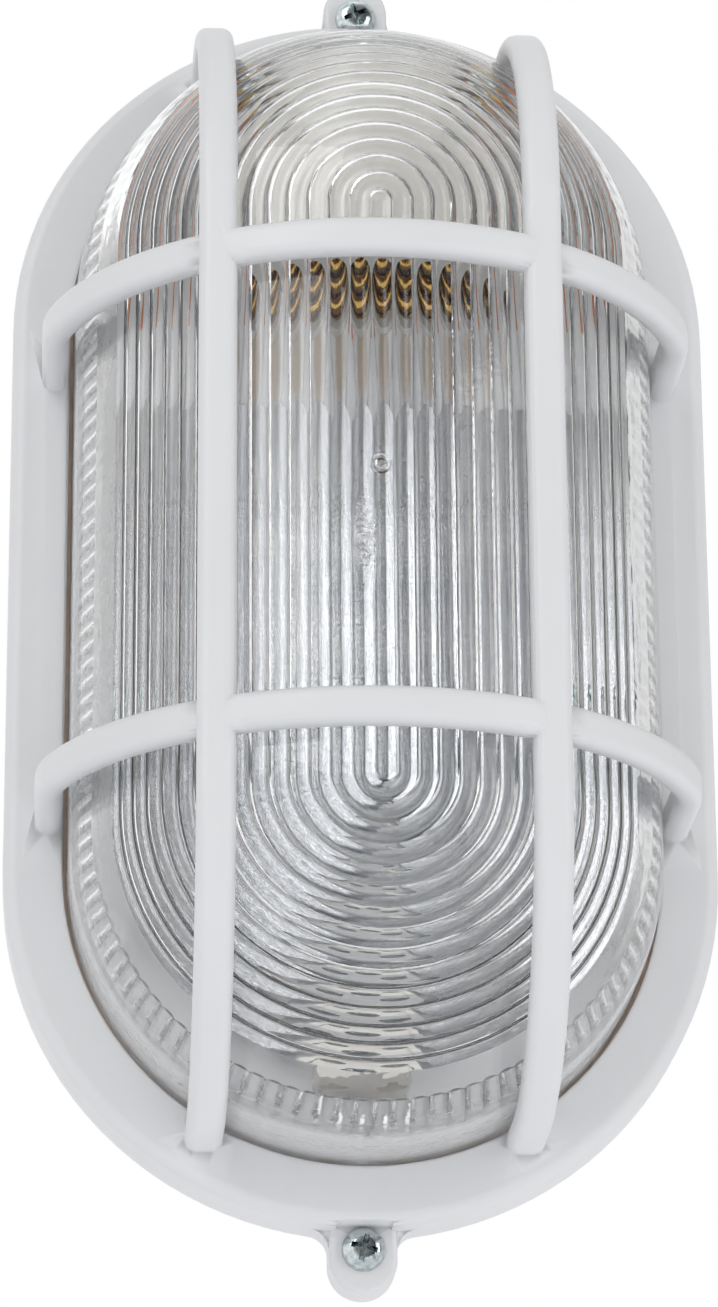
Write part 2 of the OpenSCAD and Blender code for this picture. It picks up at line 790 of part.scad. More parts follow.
// Terminal block with two tube bores and a well over each clamping screw
module terminal_block() {
    color(beige)
        difference() {
            plate(base_t, block_top_depth)
                translate([0, block_z])
                    polygon(round_rect(block_w, block_l, block_round, 3));
            for (s = [-1, 1])
                translate([s * pole_x, -tube_depth, block_z - block_l / 2 - cut_over])
                    cylinder(r = tube_r + pilot_clearance, h = block_l + 2 * cut_over);
            for (s = [-1, 1])
                for (e = [-1, 1])
                    translate([s * pole_x, 0, block_z + e * tube_screw_offset])
                        post(tube_well_r, tube_depth, block_top_depth + cut_over);
            translate([0, 0, block_z])
                post(block_hole_r, 0, block_top_depth + cut_over);
            translate([0, 0, block_z])
                post(block_screw_head_r + pass_clearance, block_screw_seat, block_top_depth + cut_over);
        }
}

// Brass tube of one pole
module terminal_tube(s) {
    color(brass)
        difference() {
            translate([s * pole_x, -tube_depth, block_z - tube_l / 2])
                cylinder(r = tube_r, h = tube_l);
            translate([s * pole_x, -tube_depth, block_z - tube_l / 2 - cut_over])
                cylinder(r = tube_bore_r, h = tube_l + 2 * cut_over);
            for (e = [-1, 1])
                translate([s * pole_x, 0, block_z + e * tube_screw_offset])
                    post(tube_screw_r + pilot_clearance, tube_depth, tube_depth + tube_r + cut_over);
        }
}

// The four clamping screws of the terminal block
module terminal_screws() {
    head_depth = tube_depth + tube_r + flat_gap;
    color(zinc)
        for (s = [-1, 1])
            for (e = [-1, 1])
                translate([s * pole_x, 0, block_z + e * tube_screw_offset])
                    difference() {
                        union() {
                            post(tube_screw_r, tube_depth + tube_bore_r / 2, head_depth + eps);
                            post(tube_head_r, head_depth, head_depth + tube_head_h);
                        }
                        translate([0, -head_depth - tube_head_h, 0])
                            cube([3 * tube_head_r, tube_head_h * 0.6, tube_head_r * 0.28], center = true);
                    }
}

// Screw that holds the terminal block down
module terminal_fixing_screw() {
    color(zinc)
        translate([0, 0, block_z])
            pan_screw(block_screw_seat, pilot_floor + tip_gap, block_screw_r, block_screw_head_r,
                block_screw_head_h);
}

// Rubber grommet in the floor, where the wall cable comes in
module cable_grommet() {
    neck_r = grommet_r - grommet_gap;
    front = base_t + grommet_flange_t;
    ease_r = grommet_flange_t * 0.43;
    color(black_rubber)
        translate([0, 0, grommet_z])
            rotate([90, 0, 0])
                rotate_extrude()
                    polygon([[cable_r, flat_gap], [neck_r, flat_gap], [neck_r, base_t], [grommet_flange_r, base_t],
                        [grommet_flange_r, front - ease_r], [grommet_flange_r - ease_r, front], [cable_r, front]]);
}

// A smooth point on the lead's route between its points i and i + 1
function route_point(i, t) =
    let (n = len(lead_route) - 1)
    let (a = lead_route[max(i - 1, 0)], b = lead_route[i], c = lead_route[min(i + 1, n)], d = lead_route[min(i + 2, n)])
    0.5 * (2 * b + (c - a) * t + (2 * a - 5 * b + 4 * c - d) * t * t + (3 * b - a - 3 * c + d) * t * t * t);

// The part of a vector that lies across a direction, at unit length
function across(v, dir) = let (w = v - (v * dir) * dir) w / norm(w);

// One lead: a round sleeve swept along the route
module lead(s) {
    n = len(lead_route) - 1;
    path = [for (i = [0:n - 1]) for (k = [0:lead_steps - 1]) route_point(i, k / lead_steps), lead_route[n]];
    m = len(path);
    dirs = [for (i = [0:m - 1]) let (v = path[min(i + 1, m - 1)] - path[max(i - 1, 0)]) v / norm(v)];
    sides = [for (i = 0, u = across([1, 0, 0], dirs[0]); i < m; i = i + 1, u = across(u, dirs[min(i, m - 1)])) u];
    ring = [for (i = [0:m - 1]) for (j = [0:lead_sides - 1])
        let (a = 360 * j / lead_sides)
        path[i] + lead_r * (cos(a) * sides[i] + sin(a) * cross(dirs[i], sides[i]))];
    skin = [for (i = [0:m - 2]) for (j = [0:lead_sides - 1])
        let (k = (j + 1) % lead_sides, q = i * lead_sides)
        [q + j, q + k, q + lead_sides + k, q + lead_sides + j]];
    ends = [[for (j = [0:lead_sides - 1]) lead_sides - 1 - j],
        [for (j = [0:lead_sides - 1]) (m - 1) * lead_sides + j]];
    faces = concat(skin, ends);
    turned = [for (f = faces) [for (i = [len(f) - 1:-1:0]) f[i]]];
    color(sleeve_brown)
        polyhedron([for (p = ring) [s * p[0], -p[1], p[2]]], s > 0 ? faces : turned);
}

base_housing();
guard_frame();
glass_lens();
lens_seal();
reflector();
reflector_screw(-1);  // reflector_screw_left
reflector_screw(1);  // reflector_screw_right
lampholder_body();
lampholder_shell();
centre_contact();
lampholder_bracket();
lampholder_screw(-1);  // lampholder_screw_front
lampholder_screw(1);  // lampholder_screw_rear
bracket_screw(-1);  // bracket_screw_left
bracket_screw(1);  // bracket_screw_right
holder_terminal(-1);  // holder_terminal_left
holder_terminal(1);  // holder_terminal_right
holder_terminal_screws();
terminal_block();
terminal_tube(-1);  // terminal_tube_left
terminal_tube(1);  // terminal_tube_right
terminal_screws();
terminal_fixing_screw();
cable_grommet();
lead(-1);  // lead_left
lead(1);  // lead_right
cover_screw(1);  // cover_screw_top
cover_screw(-1);  // cover_screw_bottom
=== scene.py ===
import json
import math

import bmesh
import bpy
from bpy.props import FloatProperty, FloatVectorProperty, IntProperty, PointerProperty
from mathutils import Matrix, Vector


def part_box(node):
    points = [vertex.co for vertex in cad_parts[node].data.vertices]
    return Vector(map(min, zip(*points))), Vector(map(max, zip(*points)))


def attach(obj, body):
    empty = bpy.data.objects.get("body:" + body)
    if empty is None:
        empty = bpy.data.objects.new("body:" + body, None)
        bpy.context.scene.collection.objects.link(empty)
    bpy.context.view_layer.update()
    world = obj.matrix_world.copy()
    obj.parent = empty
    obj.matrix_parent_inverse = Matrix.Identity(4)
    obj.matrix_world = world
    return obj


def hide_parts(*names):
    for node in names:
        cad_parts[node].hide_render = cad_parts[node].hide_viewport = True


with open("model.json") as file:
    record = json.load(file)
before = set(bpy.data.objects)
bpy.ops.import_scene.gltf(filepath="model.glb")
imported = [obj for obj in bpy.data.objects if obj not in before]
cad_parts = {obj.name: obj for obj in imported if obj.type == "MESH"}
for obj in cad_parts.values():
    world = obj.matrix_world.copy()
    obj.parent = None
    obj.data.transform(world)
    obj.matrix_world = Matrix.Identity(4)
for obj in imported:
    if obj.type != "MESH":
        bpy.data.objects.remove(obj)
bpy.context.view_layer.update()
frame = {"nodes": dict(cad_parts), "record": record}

bl_info = {
    "name": "Oval Bulkhead Wall Light",
    "version": (1, 0, 0),
    "blender": (4, 5, 0),
    "location": "View3D > Sidebar > Wall Light",
    "description": "Dresses the packed model of an oval bulkhead wall light with a caged, ribbed glass",
    "category": "Object",
}

NODES = frame["nodes"]
SLOT_OF = {part["node"]: part["material_slot"] for part in frame["record"]["subparts"]}
MM = 0.001
PHOTO_HEIGHT_PX = 1307
FOCAL_LENGTH_PX = 4693


# Selecting and shaping, as by hand

def take(obj):
    """Leave edit mode and make one object the only selected and the active one."""
    if bpy.context.object and bpy.context.object.mode != "OBJECT":
        bpy.ops.object.mode_set(mode="OBJECT")
    bpy.ops.object.select_all(action="DESELECT")
    if obj:
        obj.select_set(True)
        bpy.context.view_layer.objects.active = obj
    return obj


def started(name):
    """Name the primitive that an operator has just added, and open it for shaping."""
    obj = bpy.context.object
    obj.name = name
    obj.data.name = name
    bpy.ops.object.mode_set(mode="EDIT")
    return obj


def pick(obj, kind, test):
    """Select only the vertices, edges or faces of the open mesh that pass a test."""
    bpy.ops.mesh.select_mode(type=kind)
    bpy.ops.mesh.select_all(action="DESELECT")
    mesh = bmesh.from_edit_mesh(obj.data)
    for part in {"VERT": mesh.verts, "EDGE": mesh.edges, "FACE": mesh.faces}[kind]:
        if test(part):
            part.select_set(True)
    mesh.select_flush_mode()
    bmesh.update_edit_mesh(obj.data)


def modified(obj, kind, **settings):
    """Add one modifier and apply it."""
    take(obj)
    modifier = obj.modifiers.new(kind.title(), kind)
    for key, value in settings.items():
        setattr(modifier, key, value)
    bpy.ops.object.modifier_apply(modifier=modifier.name)
    return obj


def cut(obj, cutter):
    """Subtract a cutter from a piece and throw the cutter away."""
    take(obj)
    modified(obj, "BOOLEAN", operation="DIFFERENCE", object=cutter, solver="EXACT")
    bpy.data.objects.remove(cutter)
    return obj


def joined(pieces, name):
    """Join pieces into the first one."""
    take(pieces[0])
    for piece in pieces:
        piece.select_set(True)
    bpy.ops.object.join()
    pieces[0].name = name
    pieces[0].data.name = name
    return pieces[0]


def cleaned(obj, angle, weighted=True):
    """Merge doubles, turn the faces outwards and shade smooth up to an angle."""
    take(obj)
    bpy.ops.object.mode_set(mode="EDIT")
    bpy.ops.mesh.select_all(action="SELECT")
    bpy.ops.mesh.remove_doubles(threshold=0.002 * MM)
    bpy.ops.mesh.normals_make_consistent(inside=False)
    bpy.ops.object.mode_set(mode="OBJECT")
    bpy.ops.object.shade_smooth_by_angle(angle=math.radians(angle))
    if weighted:
        modified(obj, "WEIGHTED_NORMAL", keep_sharp=True, weight=50)
    return obj


def placed(obj, matrix):
    """Move a piece's mesh to its place and leave its object at the origin."""
    obj.data.transform(obj.matrix_world)
    obj.matrix_world = Matrix.Identity(4)
    obj.data.transform(matrix)
    return obj


def hand_over(piece, node):
    """Let a piece stand for a CAD node, with the finish of the node's slot."""
    piece.data.materials.clear()
    piece.data.materials.append(finish(SLOT_OF[node]))
    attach(piece, "root")
    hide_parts(node)
    return piece


def carried(node, angle=30, soften=0.0):
    """Copy a CAD node's mesh, merge and smooth it, and soften its sharp edges by some millimetres."""
    mesh = NODES[node].data.copy()
    mesh.name = node + "_finished"
    piece = bpy.data.objects.new(node + "_finished", mesh)
    bpy.context.scene.collection.objects.link(piece)
    take(piece)
    bpy.ops.object.mode_set(mode="EDIT")
    bpy.ops.mesh.select_all(action="SELECT")
    bpy.ops.mesh.remove_doubles(threshold=0.001 * MM)
    bpy.ops.object.mode_set(mode="OBJECT")
    if soften:
        modified(piece, "BEVEL", width=soften * MM, segments=2, limit_method="ANGLE",
                 angle_limit=math.radians(35))
    bpy.ops.object.shade_smooth_by_angle(angle=math.radians(angle))
    modified(piece, "WEIGHTED_NORMAL", keep_sharp=True, weight=50)
    return hand_over(piece, node)


# Finishes

class Finish:
    """A procedural material that is built up from textures on Object coordinates."""

    def __init__(self, name, colour, metal=0.0, rough=0.5):
        self.material = bpy.data.materials.new(name)
        self.material.use_nodes = True
        self.nodes = self.material.node_tree.nodes
        self.links = self.material.node_tree.links
        self.skin = self.nodes["Principled BSDF"]
        self.skin.inputs["Base Color"].default_value = (*colour, 1)
        self.skin.inputs["Metallic"].default_value = metal
        self.skin.inputs["Roughness"].default_value = rough
        self.place = self.nodes.new("ShaderNodeTexCoord").outputs["Object"]
        self.last_bump = None

    def stretched(self, stretch, shift=(0, 0, 0)):
        """The place, scaled and then moved."""
        mapping = self.nodes.new("ShaderNodeMapping")
        mapping.inputs["Scale"].default_value = stretch
        mapping.inputs["Location"].default_value = shift
        self.links.new(self.place, mapping.inputs["Vector"])
        return mapping.outputs["Vector"]

    def noise(self, size, detail=3.0, rough=0.5, stretch=None, twist=0.0):
        """Soft noise whose largest marks are about size millimetres across."""
        node = self.nodes.new("ShaderNodeTexNoise")
        node.inputs["Scale"].default_value = 1 / (size * MM)
        node.inputs["Detail"].default_value = detail
        node.inputs["Roughness"].default_value = rough
        node.inputs["Distortion"].default_value = twist
        self.links.new(self.stretched(stretch) if stretch else self.place, node.inputs["Vector"])
        return node.outputs["Fac"]

    def cells(self, size, kind="SMOOTH_F1"):
        """Cells about size millimetres across, dark in the middle."""
        node = self.nodes.new("ShaderNodeTexVoronoi")
        node.feature = kind
        node.inputs["Scale"].default_value = 1 / (size * MM)
        self.links.new(self.place, node.inputs["Vector"])
        return node.outputs["Distance"]

    def part_of_place(self, axis):
        """One coordinate of the place, in metres."""
        split = self.nodes.new("ShaderNodeSeparateXYZ")
        self.links.new(self.place, split.inputs[0])
        return split.outputs[axis]

    def away(self, centre, size=(1, 1, 1)):
        """Distance from a centre in millimetres, counted in sizes. A size of None leaves its axis out."""
        scale = [0 if step is None else 1 / (step * MM) for step in size]
        shift = [0 if step is None else -middle / step for middle, step in zip(centre, size)]
        node = self.nodes.new("ShaderNodeVectorMath")
        node.operation = "LENGTH"
        self.links.new(self.stretched(scale, shift), node.inputs[0])
        return node.outputs["Value"]

    def ranged(self, source, low, high, start=0.3, end=0.7, smooth=False):
        """Values from low at start to high at end."""
        node = self.nodes.new("ShaderNodeMapRange")
        node.interpolation_type = "SMOOTHSTEP" if smooth else "LINEAR"
        for key, value in (("From Min", start), ("From Max", end), ("To Min", low), ("To Max", high)):
            node.inputs[key].default_value = value
        self.links.new(source, node.inputs["Value"])
        return node.outputs["Result"]

    def maths(self, operation, first, second=None):
        """Join two values, each a number or a socket."""
        node = self.nodes.new("ShaderNodeMath")
        node.operation = operation
        for slot, value in zip(node.inputs, (first, second)):
            if isinstance(value, (int, float)):
                slot.default_value = value
            elif value is not None:
                self.links.new(value, slot)
        return node.outputs[0]

    def colours(self, source, *stops):
        """Colour the skin by a texture: stops are (position, colour)."""
        ramp = self.nodes.new("ShaderNodeValToRGB")
        while len(ramp.color_ramp.elements) < len(stops):
            ramp.color_ramp.elements.new(0.5)
        for element, (position, colour) in zip(ramp.color_ramp.elements, stops):
            element.position = position
            element.color = (*colour, 1)
        self.links.new(source, ramp.inputs["Fac"])
        self.links.new(ramp.outputs["Color"], self.skin.inputs["Base Color"])

    def roughness(self, source, low, high):
        """Vary the roughness with a texture."""
        self.links.new(self.ranged(source, low, high), self.skin.inputs["Roughness"])

    def bump(self, source, depth, strength=1.0):
        """Raise the surface by up to depth millimetres where the source is 1."""
        node = self.nodes.new("ShaderNodeBump")
        node.inputs["Strength"].default_value = strength
        node.inputs["Distance"].default_value = depth * MM
        self.links.new(source, node.inputs["Height"])
        if self.last_bump:
            self.links.new(self.last_bump, node.inputs["Normal"])
        self.last_bump = node.outputs["Normal"]
        self.links.new(self.last_bump, self.skin.inputs["Normal"])


def white_plastic():
    """Satin white moulding: orange peel, fine grain, a few specks, and painted warm shade below the
    lampholder.
    """
    tone = settings().plastic_colour
    made = Finish("satin_white_plastic", tone, rough=0.42)
    specks = made.ranged(made.noise(0.9, detail=2, rough=0.7), 0, 1, 0.70, 0.74)
    cloud = made.noise(22, detail=4)
    shade = made.maths("ADD", made.ranged(cloud, 0.0, 0.4), made.maths("MULTIPLY", specks, 0.1))
    # Painted shade with a warm brown cast in the tray under the lampholder's mouth: brown at its middle,
    # fading outwards.
    warm_shade_middle, reach = (0, 0, 46), (18, 25, 14)
    painted_warm_shade = made.ranged(made.away(warm_shade_middle, reach), 0.95, 0, 0.35, 1.0, True)
    made.colours(made.maths("MAXIMUM", shade, painted_warm_shade), (0.0, tone), (0.4, [c * 0.975 for c in tone]),
                 (0.5, [c * 0.86 for c in tone]), (1.0, (0.50, 0.41, 0.32)))
    made.roughness(made.noise(3, detail=5, rough=0.6), 0.36, 0.48)
    made.bump(made.noise(1.6, detail=2), 0.012)
    made.bump(made.noise(0.18, detail=1), 0.004)
    made.skin.inputs["Specular IOR Level"].default_value = 0.45
    return made.material


def clear_glass():
    """Pressed soda glass: milky near the rim, with faint ripples, a shear mark and a crinkled flow line."""
    made = Finish("clear_pressed_glass", settings().glass_colour, rough=0.0)
    made.skin.inputs["Transmission Weight"].default_value = 1.0
    made.skin.inputs["IOR"].default_value = 1.5
    clear_from, milky_from, milky_weight = -28 * MM, -24 * MM, 0.52
    made.links.new(made.ranged(made.part_of_place(1), 1.0, milky_weight, clear_from, milky_from, True),
                   made.skin.inputs["Transmission Weight"])
    made.bump(made.noise(5, detail=2, rough=0.55, stretch=(1, 1, 0.45)), 0.05)
    made.bump(made.noise(1.6, detail=1), 0.012)
    made.bump(made.maths("MULTIPLY", made.noise(1.3, detail=2, twist=0.5),
                         made.ranged(made.part_of_place(1), 0, 1, -27 * MM, -23 * MM, True)), 0.22)
    from_mark = made.away(SHEAR_MARK)
    ring = made.maths("SUBTRACT", made.ranged(from_mark, 1, 0, 1.3, 1.7, True),
                      made.ranged(from_mark, 0.7, 0, 0.5, 1.0, True))
    made.bump(ring, 0.7)
    flow_middle, flow_reach = (-2.7, 0, -10), (2.1, None, 9.5)
    from_flow = made.away(flow_middle, flow_reach)
    crinkled = made.maths("MULTIPLY", made.ranged(from_flow, 1, 0, 0.1, 1.0, True),
                          made.noise(1.1, detail=2, rough=0.55, twist=0.6))
    made.bump(crinkled, 0.5)
    return made.material


def seal_rubber():
    """Brown sponge rubber with open pores."""
    made = Finish("brown_seal_rubber", (0.74, 0.56, 0.42), rough=0.8)
    pores = made.cells(0.5)
    made.colours(made.noise(4, detail=5), (0.3, (0.80, 0.62, 0.48)), (0.7, (0.68, 0.50, 0.37)))
    made.roughness(made.noise(2), 0.7, 0.9)
    made.bump(pores, 0.08)
    return made.material


def bright_aluminium():
    """Hammered bright sheet, duller towards its top edge, with painted shade along the lower part of its
    fold.
    """
    made = Finish("bright_stucco_aluminium", (0.68, 0.69, 0.71), metal=1.0, rough=0.2)
    fold_shade_full, fold_shade_none = -18 * MM, -8 * MM
    dull_start, dull_end = 2 * MM, 36 * MM
    # Painted shade in the fold's crease: dark along its middle line, full below -18 mm and gone above -8 mm.
    fold_shade_across = made.ranged(made.away((0, 0, 0), (1, None, None)), 0.5, 0, 0.8, 3.2, True)
    fold_shade_below = made.ranged(made.part_of_place(2), 1, 0, fold_shade_full, fold_shade_none, True)
    cloud = made.ranged(made.noise(9, detail=5), 0, 0.5, 0.35, 0.65)
    made.colours(made.maths("ADD", cloud, made.maths("MULTIPLY", fold_shade_across, fold_shade_below)),
                 (0.0, (0.76, 0.765, 0.775)), (0.5, (0.56, 0.58, 0.61)), (1.0, (0.13, 0.15, 0.17)))
    dulled = made.ranged(made.part_of_place(2), 0, 0.3, dull_start, dull_end, True)
    made.links.new(made.maths("ADD", made.ranged(made.noise(6, detail=3), 0.08, 0.16), dulled),
                   made.skin.inputs["Roughness"])
    made.bump(made.noise(5, detail=1), 0.2)
    made.bump(made.noise(1.0, detail=2, rough=0.6, stretch=(0.6, 1, 1.4)), 0.30)
    return made.material


def porcelain():
    """Cream porcelain under a clear glaze with pinholes."""
    made = Finish("cream_porcelain", (0.60, 0.585, 0.55), rough=0.16)
    made.colours(made.noise(11, detail=4), (0.3, (0.62, 0.605, 0.57)), (0.7, (0.56, 0.54, 0.495)))
    made.roughness(made.noise(4, detail=4), 0.10, 0.26)
    made.bump(made.noise(2.4, detail=2), 0.03)
    made.bump(made.ranged(made.cells(1.7, "F1"), 0, 1, 0.02, 0.10), 0.02)
    made.skin.inputs["Coat Weight"].default_value = 0.6
    made.skin.inputs["Coat Roughness"].default_value = 0.08
    return made.material


def brass_strip():
    """Pressed brass, dulled to brown in random patches, with painted shade in the hollows of its thread."""
    tone = settings().brass_colour
    made = Finish("pressed_brass", tone, metal=1.0, rough=0.26)
    lo, hi = (Vector(corner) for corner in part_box("lampholder_shell"))
    # Painted shade in the hollows of the thread, on the part of the shell farthest from its axis.
    from_axis = made.away((0, (lo.y + hi.y) / 2 / MM, 0), (1, 1, None))
    thread_shade = made.maths("MULTIPLY", made.ranged(from_axis, 0, 1, 12.55, 12.95, True),
                        made.ranged(from_axis, 1, 0, 13.9, 14.1, True))
    dulled = made.maths("MULTIPLY", made.noise(3.2, detail=5, rough=0.6), 0.5)
    made.colours(made.maths("ADD", dulled, made.maths("MULTIPLY", thread_shade, 0.55)), (0.18, tone),
                 (0.36, [c * 0.7 for c in tone]), (0.62, (0.13, 0.065, 0.018)))
    made.roughness(made.noise(1.8, detail=5), 0.16, 0.42)
    made.bump(made.noise(0.35, detail=3, stretch=(1, 1, 0.2)), 0.012)
    return made.material


def plated_steel():
    """Zinc-plated sheet with a faint spangle."""
    made = Finish("zinc_plated_sheet", (0.62, 0.63, 0.64), metal=1.0, rough=0.35)
    made.colours(made.cells(2.6, "F1"), (0.1, (0.67, 0.68, 0.69)), (0.8, (0.54, 0.555, 0.57)))
    made.roughness(made.noise(2, detail=4), 0.26, 0.46)
    made.bump(made.noise(0.4, detail=3, stretch=(1, 0.15, 1)), 0.01)
    return made.material


def zinc_steel():
    """Blue-passivated zinc on screws, with dark spots and wear from the driver."""
    made = Finish("zinc_plated_screw", (0.62, 0.68, 0.69), metal=1.0, rough=0.16)
    made.colours(made.noise(1.1, detail=5, rough=0.62), (0.32, (0.72, 0.77, 0.78)), (0.6, (0.46, 0.52, 0.53)),
                 (0.76, (0.16, 0.19, 0.20)))
    made.roughness(made.noise(0.7, detail=4), 0.06, 0.2)
    made.bump(made.noise(0.25, detail=3), 0.012)
    return made.material


def beige_plastic():
    """Matt beige moulding with a fine grain, darker at its upper end."""
    made = Finish("beige_moulding", (0.76, 0.74, 0.70), rough=0.55)
    shade_start, shade_end = -70 * MM, -66 * MM
    shaded = made.ranged(made.part_of_place(2), 0, 0.6, shade_start, shade_end, True)
    cloud = made.ranged(made.noise(5, detail=4), 0, 0.4)
    made.colours(made.maths("ADD", cloud, shaded), (0.0, (0.79, 0.77, 0.73)), (0.4, (0.72, 0.695, 0.65)),
                 (0.6, (0.46, 0.465, 0.47)), (1.0, (0.42, 0.425, 0.43)))
    made.roughness(made.noise(2, detail=4), 0.48, 0.64)
    made.bump(made.noise(0.3, detail=2), 0.01)
    return made.material


def black_rubber():
    """Black moulded rubber with a dry bloom."""
    made = Finish("black_rubber", (0.02, 0.02, 0.021), rough=0.7)
    made.colours(made.noise(3, detail=5), (0.35, (0.016, 0.016, 0.017)), (0.75, (0.045, 0.045, 0.046)))
    made.roughness(made.noise(1.5, detail=4), 0.6, 0.85)
    made.bump(made.noise(0.3, detail=3), 0.02)
    return made.material


def brown_sleeve():
    """Orange-brown woven heat sleeve round the lampholder, over a pale wire."""
    made = Finish("woven_brown_sleeve", (0.46, 0.17, 0.05), rough=0.6)
    weave = made.cells(0.45)
    wire_end, sleeve_start = 48.5 * MM, 49 * MM
    sleeved = made.ranged(made.part_of_place(2), 0, 0.5, wire_end, sleeve_start)
    made.colours(made.maths("ADD", sleeved, made.maths("MULTIPLY", weave, 0.4)),
                 (0.0, (0.70, 0.69, 0.67)), (0.42, (0.58, 0.57, 0.55)), (0.5, (0.66, 0.22, 0.05)),
                 (0.9, (0.40, 0.11, 0.02)))
    made.roughness(made.noise(1.2, detail=3), 0.5, 0.72)
    made.bump(weave, 0.06)
    return made.material


FINISHES = {
    "white_plastic": white_plastic, "clear_glass": clear_glass, "seal_rubber": seal_rubber,
    "bright_aluminium": bright_aluminium, "porcelain": porcelain, "brass_strip": brass_strip,
    "plated_steel": plated_steel, "zinc_steel": zinc_steel, "beige_plastic": beige_plastic,
    "black_rubber": black_rubber, "brown_sleeve": brown_sleeve,
}
MADE = {}


def finish(slot):
    """The material of one of the record's slots, made when it is first asked for."""
    if slot not in MADE:
        MADE[slot] = FINISHES[slot]()
    return MADE[slot]


# Sizes and colours that a user would change

class WallLightSettings(bpy.types.PropertyGroup):
    """Sizes and colours of the wall light."""

    glass_radius: FloatProperty(
        name="Glass Radius", description="Outer radius of the glass dome",
        default=47.2 * MM, min=0.03, max=0.06, unit="LENGTH")
    glass_thickness: FloatProperty(
        name="Glass Thickness", description="Thickness of the glass between its ribs",
        default=3 * MM, min=0.002, max=0.004, unit="LENGTH")
    rib_height: FloatProperty(
        name="Rib Height", description="Height of a rib inside the glass",
        default=0.5 * MM, min=0.0002, max=0.0011, unit="LENGTH")
    rib_count: IntProperty(
        name="Ribs", description="Number of ribs from the crown to the smooth band",
        default=16, min=4, max=16)
    flute_height: FloatProperty(
        name="Flute Height", description="Height of a flute in the band near the rim",
        default=0.3 * MM, min=0.0001, max=0.0008, unit="LENGTH")
    plastic_colour: FloatVectorProperty(
        name="Plastic Colour", description="Colour of the white mouldings",
        default=(0.79, 0.80, 0.815), min=0, max=1, subtype="COLOR")
    glass_colour: FloatVectorProperty(
        name="Glass Colour", description="Tint of the clear glass",
        default=(0.985, 0.99, 0.995), min=0, max=1, subtype="COLOR")
    brass_colour: FloatVectorProperty(
        name="Brass Colour", description="Colour of the clean brass",
        default=(0.80, 0.50, 0.15), min=0, max=1, subtype="COLOR")
    key_power: FloatProperty(
        name="Key Light", description="Power of the large light at the front left",
        default=8.5, min=0, max=100, subtype="POWER")
    fill_power: FloatProperty(
        name="Fill Light", description="Power of the large light at the front right",
        default=5.5, min=0, max=100, subtype="POWER")
    floor_drop: FloatProperty(
        name="Floor Drop", description="Distance of the floor below the middle of the light",
        default=0.40, min=0.3, max=2, unit="LENGTH")


def settings():
    return bpy.context.scene.wall_light


GLASS_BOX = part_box("glass_lens")
END_Z = GLASS_BOX[1][2] - GLASS_BOX[1][0]
CROWN_DEPTH = -GLASS_BOX[0][1]
RIM_DEPTH = -GLASS_BOX[1][1]
RIM_RADIUS = GLASS_BOX[1][0]
SHEAR_MARK = (-0.4, -CROWN_DEPTH / MM, 1.9)


# Glass

def oval_stations(turn_steps, run_steps):
    """Places round the oval: the z of the centre they are measured from, and the way outwards."""
    stations = []
    for side in (1, -1):
        for i in range(turn_steps):
            angle = math.pi * i / turn_steps + (0 if side > 0 else math.pi)
            stations.append((side * END_Z, math.cos(angle), math.sin(angle)))
        for i in range(run_steps):
            stations.append((side * END_Z * (1 - 2 * i / run_steps), -side, 0.0))
    return stations


